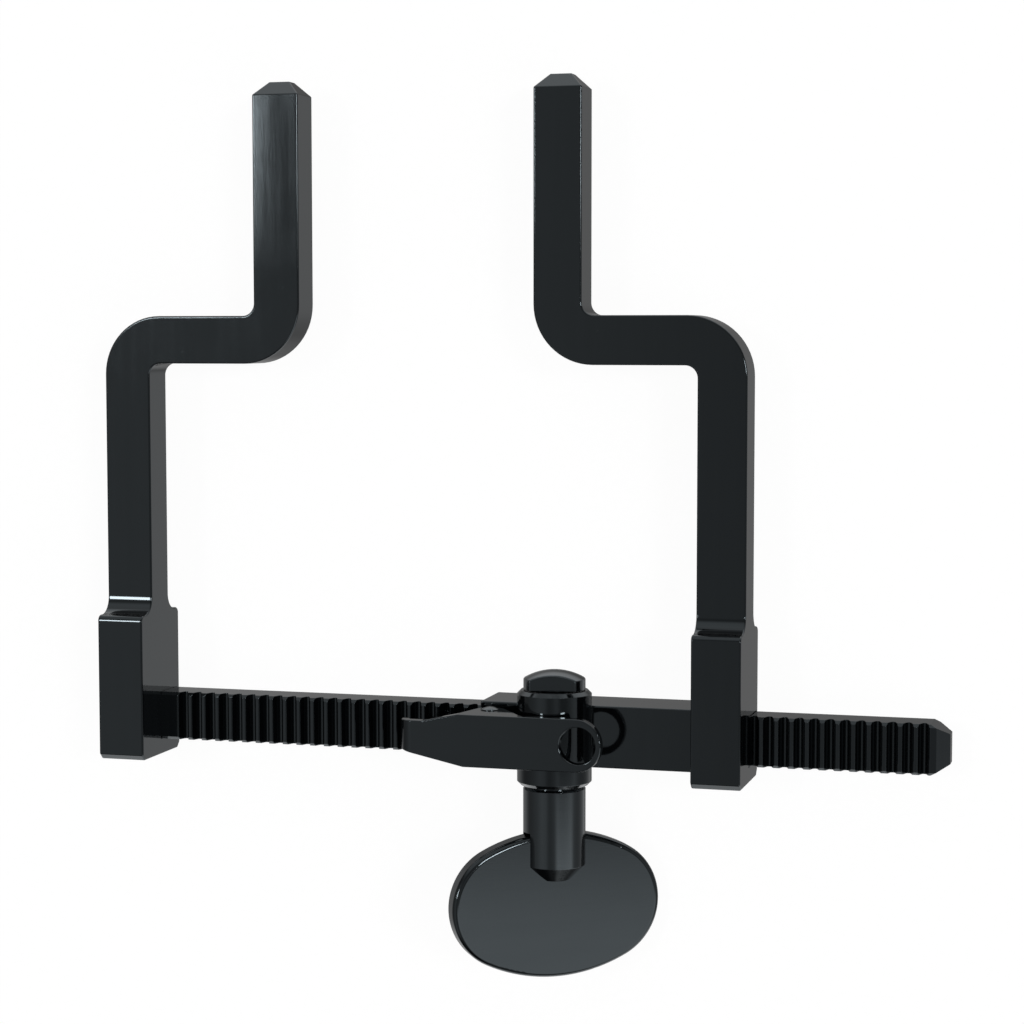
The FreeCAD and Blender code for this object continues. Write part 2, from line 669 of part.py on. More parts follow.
def turned_rectangle(turn, x_low, x_high, z_low, z_high):
    """Rectangle in the XZ plane, turned about the Y axis."""
    corners = []
    for x, z in ((x_low, z_low), (x_high, z_low), (x_high, z_high), (x_low, z_high)):
        corners.append((
            f"({x}) * cos({turn}) + ({z}) * sin({turn})",
            f"({z}) * cos({turn}) - ({x}) * sin({turn})",
        ))
    return Outline(corners)


def make_key_plate():
    """Oval plate that turns the pinion, held in the slot of the stem."""
    piece = Piece("key_plate", AXIS_X, AXIS_Z)
    piece.body.setExpression("Placement.Rotation.Angle", linked("key_turn * 1 deg"))
    piece.body.Placement.Rotation.Axis = FreeCAD.Vector(0, 1, 0)
    middle = "(0 - key_top - key_height / 2)"
    offset = "(key_length / 2 - key_end_radius)"
    rise = "(key_height / 2 - key_end_radius)"
    sink = f"(({offset} * {offset} - {rise} * {rise}) / (2 * {rise}))"
    reach = f"sqrt({offset} * {offset} + {sink} * {sink})"
    join_x = f"({offset} * (1 + key_end_radius / {reach}))"
    join_y = f"(key_end_radius * {sink} / {reach})"
    side_radius = f"(key_height / 2 + {sink})"
    corners = [
        (f"0 - {join_x}", f"{middle} + {join_y}"),
        (f"0 - {join_x}", f"{middle} - {join_y}"),
        (join_x, f"{middle} - {join_y}"),
        (join_x, f"{middle} + {join_y}"),
    ]
    arcs = {
        0: ("key_end_radius", (-1, 0)),
        1: (side_radius, (0, -1)),
        2: ("key_end_radius", (1, 0)),
        3: (side_radius, (0, 1)),
    }
    oval = Outline(corners, arcs)
    piece.pad("XY", "0 - key_thickness / 2", "key_thickness / 2", oval)
    piece.dress("Fillet", "key_rim", outward_corner)
    return piece


def make_cap_screw():
    """Domed screw with two flats that keeps the pinion in its barrel."""
    piece = Piece("cap_screw", AXIS_X, AXIS_Z)
    under = "(barrel_top + cap_gap)"
    side = f"({under} + cap_side)"
    dome = "((cap_radius * cap_radius + cap_dome * cap_dome) / (2 * cap_dome))"
    section = Outline(
        [
            ("0", f"{under} - screw_length"),
            ("screw_radius", f"{under} - screw_length"),
            ("screw_radius", under),
            ("cap_radius", under),
            ("cap_radius", side),
            ("0", f"{side} + cap_dome"),
        ],
        {4: (dome, (1, 1))},
    )
    piece.revolve(section)
    reach = f"(cap_radius + {OVERRUN})"
    front = turned_rectangle("cap_turn", f"0 - {reach}", reach, "cap_flat", reach)
    back = turned_rectangle("cap_turn", f"0 - {reach}", reach, f"0 - {reach}", "0 - cap_flat")
    piece.pocket("XZ", under, f"{side} + cap_dome", front, back)
    piece.dress("Fillet", "cap_round", corners_above(under))
    return piece


def make_lever():
    """Pawl lever: sheet with an eye at one end, a tip at the other and two ears."""
    piece = Piece("pawl_lever", PIVOT_X, "pivot_front")
    tip_z = f"(0 - {TIP_RISE})"
    lever_end = "(eye_reach + eye_rim)"
    strap = Outline([
        (lever_end, LEVER_BACK),
        (lever_end, "lever_front"),
        ("0 - heel_left", "lever_front"),
        (f"0 - {TIP_LEFT} - tip_width / 2", tip_z),
        (f"0 - {TIP_LEFT} + tip_width / 2", tip_z),
        ("0 - heel_left + lever_thickness", LEVER_BACK),
    ])
    piece.pad("XZ", LEVER_LOW, LEVER_TOP, strap)
    heel = [{"x": "0 - heel_left", "z": "lever_front"}]
    piece.dress("Fillet", "heel_round", edges_at("y", heel))
    heel = [{"x": "0 - heel_left + lever_thickness", "z": LEVER_BACK}]
    piece.dress("Fillet", "heel_round - lever_thickness", edges_at("y", heel))
    cut_end = "0 - heel_left - lever_thickness"
    cut_low = f"{LEVER_LOW} - lever_thickness"
    cut_high = f"{LEVER_TOP} + lever_thickness"
    above_leg = rectangle(
        cut_end, "0 - taper_end", f"{LEVER_LOW} + taper_low + tip_height", cut_high
    )
    piece.pocket("XY", tip_z, "lever_front - heel_round", above_leg)
    ear = ear_outline()
    disc = Disc("0", "0", "ear_radius")
    for low, high in ear_levels():
        piece.pad("XZ", low, high, ear)
        piece.pad("XZ", low, high, disc)
    for low, high in ear_levels():
        piece.pocket("XZ", low, high, Disc("0", "0", "pin_radius"))
    lower_taper = Outline([
        ("0 - taper_start", LEVER_LOW),
        ("0 - heel_left", f"{LEVER_LOW} + taper_low"),
        (cut_end, f"{LEVER_LOW} + taper_low"),
        (cut_end, cut_low),
        ("0 - taper_start", cut_low),
    ])
    upper_taper = Outline([
        ("0 - ear_left", LEVER_TOP),
        ("0 - taper_end", f"{LEVER_TOP} - taper_high"),
        (cut_end, f"{LEVER_TOP} - taper_high"),
        (cut_end, cut_high),
        ("0 - ear_left", cut_high),
    ])
    piece.pocket("XY", tip_z, "lever_front", lower_taper, upper_taper)
    corners = [{"x": lever_end, "y": LEVER_LOW}, {"x": lever_end, "y": LEVER_TOP}]
    end_round = "((lever_height - lever_round) / 2)"
    piece.dress("Fillet", end_round, edges_at("z", corners))
    piece.pocket("XY", LEVER_BACK, "lever_front", Disc("eye_reach", eye_height(), "eye_radius"))
    piece.dress("Fillet", "lever_round", facing_front)
    return piece


def facing_front(shape, edge):
    """True for a sharp edge round the front of the lever."""
    front = value("lever_front - lever_thickness / 2")
    return middle_of(edge).z > front and outward_corner(shape, edge)


def eye_height():
    """Centre of the eye along Y."""
    return "(lever_height / 2 - lever_drop)"


def ear_levels():
    """Lower and upper ear: pairs of levels along Y."""
    return [
        (LEVER_LOW, f"{LEVER_LOW} + ear_thickness"),
        (f"{LEVER_TOP} - ear_thickness", LEVER_TOP),
    ]


def ear_outline():
    """Ear between its root on the lever and the tangents to its round end."""
    corners = []
    for root, sign in (("(0 - ear_left)", -1), ("ear_right", 1)):
        square = f"({root} * {root} + {LEVER_BACK} * {LEVER_BACK})"
        near = f"(ear_radius * ear_radius / {square})"
        side = f"(ear_radius * sqrt({square} - ear_radius * ear_radius) / {square})"
        corners.append((
            f"{root} * {near} + {sign} * {LEVER_BACK} * {side}",
            f"{LEVER_BACK} * {near} - {sign} * {root} * {side}",
        ))
    into = f"{LEVER_BACK} + lever_thickness / 2"
    return Outline([
        ("0 - ear_left", into),
        ("0 - ear_left", LEVER_BACK),
        corners[0],
        ("0", "0"),
        corners[1],
        ("ear_right", LEVER_BACK),
        ("ear_right", into),
    ])


def make_pivot_pin():
    """Headed pin that the lever and its ears turn with."""
    piece = Piece("pawl_pivot_pin", PIVOT_X, "pivot_front")
    dome = f"({LEVER_TOP} + pin_rim)"
    rise = "(pin_head - pin_rim)"
    dome_radius = f"((pin_head_radius * pin_head_radius + {rise} * {rise}) / (2 * {rise}))"
    section = Outline(
        [
            ("0", f"{LEVER_LOW} - pin_foot"),
            ("pin_head_radius - pin_foot / 2", f"{LEVER_LOW} - pin_foot"),
            ("pin_head_radius", f"{LEVER_LOW} - pin_foot / 2"),
            ("pin_head_radius", LEVER_LOW),
            ("pin_radius", LEVER_LOW),
            ("pin_radius", LEVER_TOP),
            ("pin_head_radius", LEVER_TOP),
            ("pin_head_radius", dome),
            ("0", f"{LEVER_TOP} + pin_head"),
        ],
        {7: (dome_radius, (1, 1))},
    )
    piece.revolve(section)
    return piece


def make_spring():
    """Torsion spring round the pivot pin, its legs in line with the wire's ends."""
    piece = Piece("pawl_spring", PIVOT_X, "pivot_front")
    start = f"({LEVER_LOW} + ear_thickness + coil_gap + wire_radius)"
    coil = piece.body.newObject("PartDesign::AdditiveHelix", "Coil")
    coil.Profile = piece.sketch("XY", "0", Disc("coil_radius", start, "wire_radius"))
    coil.ReferenceAxis = (piece.origin("Y_Axis"), [""])
    coil.Mode = "pitch-turns-angle"
    coil.setExpression("Pitch", linked("coil_pitch"))
    coil.setExpression("Turns", linked("coil_turns"))
    piece.finished(coil, 1)
    leg = Disc("coil_radius", start, "wire_radius")
    piece.pad("XY", "0", f"{LEVER_BACK} - leg_gap", leg)
    turned = "(360 * coil_turns)"
    end = Disc(
        f"coil_radius * cos({turned})", f"{start} + coil_pitch * coil_turns", "wire_radius"
    )
    low = "housing_depth - pivot_front + leg_gap"
    piece.pad("XY", low, f"0 - coil_radius * sin({turned})", end)
    return piece


MAKERS = (
    make_rack_bar,
    make_fixed_arm,
    make_bar_pins,
    make_moving_arm,
    make_housing,
    make_link_pins,
    make_pinion,
    make_cap_screw,
    make_key_plate,
    make_lever,
    make_pivot_pin,
    make_spring,
)

pieces = [maker() for maker in MAKERS]
doc.recompute()

for item in doc.Objects:
    if "Invalid" in item.State or "Error" in item.State:
        raise RuntimeError(f"{item.Label} failed to build: {item.State}")

os.makedirs("parts", exist_ok=True)
for piece in pieces:
    solid = piece.body.Shape
    if solid.isNull() or not solid.isValid():
        raise RuntimeError(f"{piece.body.Label} has no valid shape")
    solid.exportStep(f"parts/{piece.body.Label}.step")
    box = solid.BoundBox
    print(
        f"{piece.body.Label}: volume {solid.Volume:.1f}, solids {len(solid.Solids)}, "
        f"x {box.XMin:.2f} {box.XMax:.2f}, y {box.YMin:.2f} {box.YMax:.2f}, "
        f"z {box.ZMin:.2f} {box.ZMax:.2f}"
    )
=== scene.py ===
"""Looks of a self retaining retractor: black hard coat, light by direction, white floor."""

import json
import logging
import math
from dataclasses import dataclass, field
from enum import Enum
from typing import Any

import bpy
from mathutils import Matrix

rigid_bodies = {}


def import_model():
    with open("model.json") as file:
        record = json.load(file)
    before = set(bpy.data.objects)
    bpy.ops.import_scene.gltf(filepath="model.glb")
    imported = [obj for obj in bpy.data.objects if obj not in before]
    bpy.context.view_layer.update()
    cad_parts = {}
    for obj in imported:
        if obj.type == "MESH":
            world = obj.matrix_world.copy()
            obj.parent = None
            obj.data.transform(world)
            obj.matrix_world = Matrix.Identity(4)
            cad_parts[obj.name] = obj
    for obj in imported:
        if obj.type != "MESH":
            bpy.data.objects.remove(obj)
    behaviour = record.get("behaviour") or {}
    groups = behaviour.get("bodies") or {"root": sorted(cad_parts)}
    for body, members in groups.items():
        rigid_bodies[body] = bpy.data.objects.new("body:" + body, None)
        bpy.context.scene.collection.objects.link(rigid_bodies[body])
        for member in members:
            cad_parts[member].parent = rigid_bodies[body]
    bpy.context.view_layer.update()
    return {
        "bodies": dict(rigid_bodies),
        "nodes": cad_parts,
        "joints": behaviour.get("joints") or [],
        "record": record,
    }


LOG = logging.getLogger("retractor")
Colour = tuple[float, float, float]
Triple = tuple[float, float, float]
Range = tuple[float, float]


class Finish(Enum):
    """Named finishes of the instrument's pieces."""

    POLISHED = "polished black coat"
    MILLED = "milled black coat"
    TURNED = "turned black coat"
    SPRUNG = "sheet black coat"
    STEEL = "bare steel"


class Graph:
    """Adds nodes to one tree and joins them."""

    def __init__(self, tree: bpy.types.NodeTree) -> None:
        """Keep the tree that the nodes go into."""
        self.tree = tree

    def add(
        self, kind: str, inputs: dict[str | int, Any] | None = None, **settings: Any
    ) -> bpy.types.Node:
        """Add one node.

        Args:
            kind: Blender's name of the node type.
            inputs: a constant or another node's socket for each named input.
            settings: properties of the node itself.

        Returns:
            The new node.
        """
        node = self.tree.nodes.new(kind)
        for name, setting in settings.items():
            setattr(node, name, setting)
        for name, given in (inputs or {}).items():
            self.feed(node, name, given)
        return node

    def feed(self, node: bpy.types.Node, name: str | int, given: Any) -> None:
        """Lead a socket or a constant into one input of a node."""
        if isinstance(given, bpy.types.NodeSocket):
            self.tree.links.new(given, node.inputs[name])
        else:
            node.inputs[name].default_value = given

    def math(self, operation: str, *terms: Any) -> bpy.types.NodeSocket:
        """Add a Math node and return its result."""
        node = self.add("ShaderNodeMath", dict(enumerate(terms)), operation=operation)
        return node.outputs[0]

    def noise(
        self, place: Any, scale: float, detail: float, rough: float = 0.5, bend: float = 0.0
    ) -> bpy.types.NodeSocket:
        """Add a noise texture.

        Args:
            place: coordinates.
            scale: number of waves for each unit of the coordinates.
            detail: number of finer layers.
            rough: strength of the finer layers.
            bend: distortion of the pattern.

        Returns:
            The noise value's socket.
        """
        node = self.add(
            "ShaderNodeTexNoise",
            {"Vector": place, "Scale": scale, "Detail": detail,
             "Roughness": rough, "Distortion": bend},
        )
        return node.outputs["Fac"]

    def spread(
        self, value: Any, low: float, high: float, out_low: float, out_high: float
    ) -> bpy.types.NodeSocket:
        """Map a value smoothly from one range to another.

        Args:
            value: socket that is mapped.
            low: value that gives out_low.
            high: value that gives out_high.
            out_low: result at the low end.
            out_high: result at the high end.

        Returns:
            The result's socket.
        """
        node = self.add(
            "ShaderNodeMapRange",
            {"Value": value, "From Min": low, "From Max": high,
             "To Min": out_low, "To Max": out_high},
            interpolation_type="SMOOTHSTEP",
        )
        return node.outputs["Result"]

    def blend(self, share: Any, first: Any, second: Any) -> bpy.types.NodeSocket:
        """Mix two colours by a share from 0 to 1."""
        node = self.add("ShaderNodeMix", data_type="RGBA")
        share_input, first_input, second_input, colour_output = 0, 6, 7, 2
        self.feed(node, share_input, share)
        self.feed(node, first_input, first)
        self.feed(node, second_input, second)
        return node.outputs[colour_output]


class Effect:
    """Node groups that several finishes share, each built once.

    Scales are in waves for each metre, and band_scale is for each wave of the fine lines.
    Ranges are the values that give nothing and all of an effect.
    """

    edge_samples: int = 6
    edge_cosines: Range = (0.995, 0.82)
    break_scale: float = 900.0
    break_range: Range = (0.35, 0.65)
    break_least: float = 0.25
    band_scale: float = 0.12
    band_range: Range = (0.3, 0.7)
    smear_range: Range = (0.38, 0.72)
    speck_scale: float = 420.0
    speck_reach: Range = (0.1, 0.04)
    rare_scale: float = 260.0
    rare_range: Range = (0.6, 0.68)

    def __init__(self, name: str, wanted: dict[str, str], given: dict[str, str]) -> None:
        """Start a group.

        Args:
            name: name of the group.
            wanted: socket type of each named input.
            given: socket type of each named output.
        """
        self.tree = bpy.data.node_groups.new(name, "ShaderNodeTree")
        for label, kind in wanted.items():
            self.tree.interface.new_socket(name=label, in_out="INPUT", socket_type=kind)
        for label, kind in given.items():
            self.tree.interface.new_socket(name=label, in_out="OUTPUT", socket_type=kind)
        self.graph = Graph(self.tree)
        self.source = self.graph.add("NodeGroupInput").outputs
        self.result = self.graph.add("NodeGroupOutput").inputs

    def send(self, label: str, socket: bpy.types.NodeSocket) -> None:
        """Lead a socket to one of the group's outputs."""
        self.tree.links.new(socket, self.result[label])

    @staticmethod
    def group(name: str) -> bpy.types.NodeTree:
        """Return a shared group, building it the first time."""
        known = bpy.data.node_groups.get(name)
        if known:
            return known
        makers = {
            "Edge wear": Effect.edge_wear,
            "Tool lines": Effect.tool_lines,
            "Handling": Effect.handling,
        }
        return makers[name]()

    @staticmethod
    def edge_wear() -> bpy.types.NodeTree:
        """Mask of the edges, where a softened normal leaves the true one, broken by noise."""
        effect = Effect(
            "Edge wear",
            {"Vector": "NodeSocketVector", "Width": "NodeSocketFloat"},
            {"Mask": "NodeSocketFloat", "Normal": "NodeSocketVector"},
        )
        graph = effect.graph
        soft = graph.add(
            "ShaderNodeBevel", {"Radius": effect.source["Width"]}, samples=Effect.edge_samples
        )
        true = graph.add("ShaderNodeNewGeometry")
        dot = graph.add(
            "ShaderNodeVectorMath",
            {0: soft.outputs["Normal"], 1: true.outputs["Normal"]},
            operation="DOT_PRODUCT",
        )
        noise = graph.noise(effect.source["Vector"], Effect.break_scale, 4.0, rough=0.6)
        edge = graph.spread(dot.outputs["Value"], *Effect.edge_cosines, 0.0, 1.0)
        broken = graph.spread(noise, *Effect.break_range, Effect.break_least, 1.0)
        effect.send("Mask", graph.math("MULTIPLY", edge, broken))
        effect.send("Normal", soft.outputs["Normal"])
        return effect.tree

    @staticmethod
    def tool_lines() -> bpy.types.NodeTree:
        """Fine parallel lines: noise on coordinates that are squeezed across the lines."""
        effect = Effect(
            "Tool lines",
            {"Vector": "NodeSocketVector", "Squeeze": "NodeSocketVector"},
            {"Height": "NodeSocketFloat", "Bands": "NodeSocketFloat"},
        )
        graph = effect.graph
        squeezed = graph.add(
            "ShaderNodeVectorMath",
            {0: effect.source["Vector"], 1: effect.source["Squeeze"]},
            operation="MULTIPLY",
        ).outputs[0]
        fine = graph.noise(squeezed, 1.0, 5.0, rough=0.7)
        wide = graph.noise(squeezed, Effect.band_scale, 2.0)
        effect.send("Height", fine)
        effect.send("Bands", graph.spread(wide, *Effect.band_range, 0.0, 1.0))
        return effect.tree

    @staticmethod
    def handling() -> bpy.types.NodeTree:
        """Faint smears of handling and sparse specks of dust."""
        effect = Effect(
            "Handling",
            {"Vector": "NodeSocketVector", "Size": "NodeSocketFloat"},
            {"Smears": "NodeSocketFloat", "Dust": "NodeSocketFloat"},
        )
        graph = effect.graph
        place = effect.source["Vector"]
        smears = graph.noise(place, 1.0, 3.0, rough=0.55, bend=0.6)
        graph.feed(smears.node, "Scale", effect.source["Size"])
        specks = graph.add(
            "ShaderNodeTexVoronoi",
            {"Vector": place, "Scale": Effect.speck_scale, "Randomness": 1.0},
        )
        rare = graph.noise(place, Effect.rare_scale, 2.0)
        near = graph.spread(specks.outputs["Distance"], *Effect.speck_reach, 0.0, 1.0)
        chosen = graph.spread(rare, *Effect.rare_range, 0.0, 1.0)
        effect.send("Smears", graph.spread(smears, *Effect.smear_range, 0.0, 1.0))
        effect.send("Dust", graph.math("MULTIPLY", near, chosen))
        return effect.tree


class Surface:
    """A new material with the effects that every finish has, on its object coordinates."""

    def __init__(self, name: str, squeeze: Triple, smear_size: float) -> None:
        """Start the material.

        Args:
            name: name of the material.
            squeeze: how much the tool lines' coordinates are squeezed along each axis.
            smear_size: scale of the smears.
        """
        self.material = bpy.data.materials.new(name)
        self.material.use_nodes = True
        self.tree = self.material.node_tree
        self.graph = Graph(self.tree)
        self.shader = self.tree.nodes["Principled BSDF"]
        self.place = self.graph.add("ShaderNodeTexCoord").outputs["Object"]
        self.lines = self.effect("Tool lines", "Squeeze", squeeze)
        self.marks = self.effect("Handling", "Size", smear_size)

    def effect(self, name: str, label: str, given: Any) -> bpy.types.NodeOutputs:
        """Add a shared effect.

        Args:
            name: name of the effect's group.
            label: the input beside its coordinates.
            given: constant for that input.

        Returns:
            The effect's outputs.
        """
        node = self.graph.add("ShaderNodeGroup", node_tree=Effect.group(name))
        self.graph.feed(node, "Vector", self.place)
        self.graph.feed(node, label, given)
        return node.outputs

    def engrave(self, depth: float) -> bpy.types.Node:
        """Lay the tool lines into the shader's normal, and return their bump node."""
        relief = self.graph.add(
            "ShaderNodeBump",
            {"Height": self.lines["Height"], "Strength": 1.0, "Distance": depth},
        )
        self.graph.feed(self.shader, "Normal", relief.outputs["Normal"])
        return relief


@dataclass(frozen=True)
class Coat:
    """Hard black coat on steel, laid over the marks of its making."""

    name: str
    deep: Colour = (0.0012, 0.0014, 0.0017)
    band_gain: float = 1.35
    worn: Colour = (0.020, 0.021, 0.022)
    wear_share: float = 0.35
    wear_roughness: float = 0.12
    dust: Colour = (0.09, 0.09, 0.085)
    dust_share: float = 0.06
    dust_roughness: float = 0.08
    sheen: Colour = (0.80, 0.93, 1.0)
    squeeze: Triple = (400.0, 6000.0, 6000.0)
    smooth: float = 0.035
    dull: float = 0.085
    smear_part: float = 0.55
    band_part: float = 0.45
    line_height: float = 0.0000012
    edge_width: float = 0.00012
    smear_size: float = 55.0
    index: float = 1.57

    def build(self) -> bpy.types.Material:
        """Make the material.

        Returns:
            The material, with its nodes.
        """
        surface = Surface(self.name, self.squeeze, self.smear_size)
        graph = surface.graph
        shader = surface.shader
        edges = surface.effect("Edge wear", "Width", self.edge_width)
        bands = surface.lines["Bands"]
        smears = surface.marks["Smears"]
        dust = surface.marks["Dust"]

        wear = graph.math("MULTIPLY", edges["Mask"], self.wear_share)
        raised = tuple(self.band_gain * part for part in self.deep)
        tint = graph.blend(bands, (*self.deep, 1.0), (*raised, 1.0))
        tint = graph.blend(wear, tint, (*self.worn, 1.0))
        dusty = graph.math("MULTIPLY", dust, self.dust_share)
        tint = graph.blend(dusty, tint, (*self.dust, 1.0))
        graph.feed(shader, "Base Color", tint)

        span = self.dull - self.smooth
        gloss = graph.math("MULTIPLY_ADD", smears, self.smear_part * span, self.smooth)
        gloss = graph.math("MULTIPLY_ADD", bands, self.band_part * span, gloss)
        gloss = graph.math("MULTIPLY_ADD", wear, self.wear_roughness, gloss)
        gloss = graph.math("MULTIPLY_ADD", dust, self.dust_roughness, gloss)
        graph.feed(shader, "Roughness", gloss)

        relief = surface.engrave(self.line_height)
        graph.feed(relief, "Normal", edges["Normal"])
        shader.inputs["IOR"].default_value = self.index
        shader.inputs["Specular Tint"].default_value = (*self.sheen, 1.0)
        return surface.material


@dataclass(frozen=True)
class Steel:
    """Bare ground steel."""

    name: str
    light: Colour = (0.56, 0.57, 0.58)
    dark: Colour = (0.34, 0.35, 0.36)
    squeeze: Triple = (1500.0, 9000.0, 1500.0)
    smooth: float = 0.2
    dull: float = 0.36
    line_height: float = 0.000004
    smear_size: float = 120.0

    def build(self) -> bpy.types.Material:
        """Make the material.

        Returns:
            The material, with its nodes.
        """
        surface = Surface(self.name, self.squeeze, self.smear_size)
        graph = surface.graph
        shader = surface.shader
        tint = graph.blend(surface.lines["Height"], (*self.dark, 1.0), (*self.light, 1.0))
        graph.feed(shader, "Base Color", tint)
        span = self.dull - self.smooth
        gloss = graph.math("MULTIPLY_ADD", surface.marks["Smears"], span, self.smooth)
        graph.feed(shader, "Roughness", gloss)
        surface.engrave(self.line_height)
        shader.inputs["Metallic"].default_value = 1.0
        return surface.material


def finish_recipe(finish: Finish) -> Coat | Steel:
    """Recipe of a named finish."""
    recipes = {
        Finish.POLISHED: Coat("polished black coat", squeeze=(5200.0, 260.0, 5200.0)),
        Finish.MILLED: Coat(
            "milled black coat", squeeze=(9000.0, 350.0, 2600.0), dull=0.11, line_height=0.000002
        ),
        Finish.TURNED: Coat(
            "turned black coat", squeeze=(260.0, 9000.0, 260.0), dull=0.10,
            line_height=0.0000016, index=1.76,
        ),
        Finish.SPRUNG: Coat("sheet black coat", squeeze=(240.0, 6400.0, 240.0), dull=0.09),
        Finish.STEEL: Steel("bare steel"),
    }
    return recipes[finish]


class Finishes:
    """Materials of the instrument, each made when it is first wanted."""

    def __init__(self) -> None:
        """Start with no material made."""
        self.made: dict[Finish, bpy.types.Material] = {}

    def material(self, finish: Finish) -> bpy.types.Material:
        """Return the material of a finish.

        Args:
            finish: the wanted finish.

        Returns:
            Its material.
        """
        if finish not in self.made:
            self.made[finish] = finish_recipe(finish).build()
        return self.made[finish]

    def dress(self, piece: bpy.types.Object, finish: Finish) -> None:
        """Give every slot of a piece one finish."""
        piece.data.materials.clear()
        piece.data.materials.append(self.material(finish))


@dataclass(frozen=True)
class Camera:
    """Camera of the photograph, in metres and degrees in the model's frame."""

    place: Triple = (0.110073, 0.032981, 0.398772)
    turn: Triple = (-4.3, 15.77, -0.03)
    lens_mm: float = 85.79
    sensor_mm: float = 36.0
    nearest: float = 0.01

    def build(self) -> None:
        """Create the camera and make it the scene's own."""
        data = bpy.data.cameras.new("photo_camera")
        data.lens = self.lens_mm
        data.sensor_width = self.sensor_mm
        data.clip_start = self.nearest
        camera = bpy.data.objects.new("photo_camera", data)
        camera.location = self.place
        camera.rotation_euler = [math.radians(angle) for angle in self.turn]
        bpy.context.scene.collection.objects.link(camera)
        bpy.context.scene.camera = camera


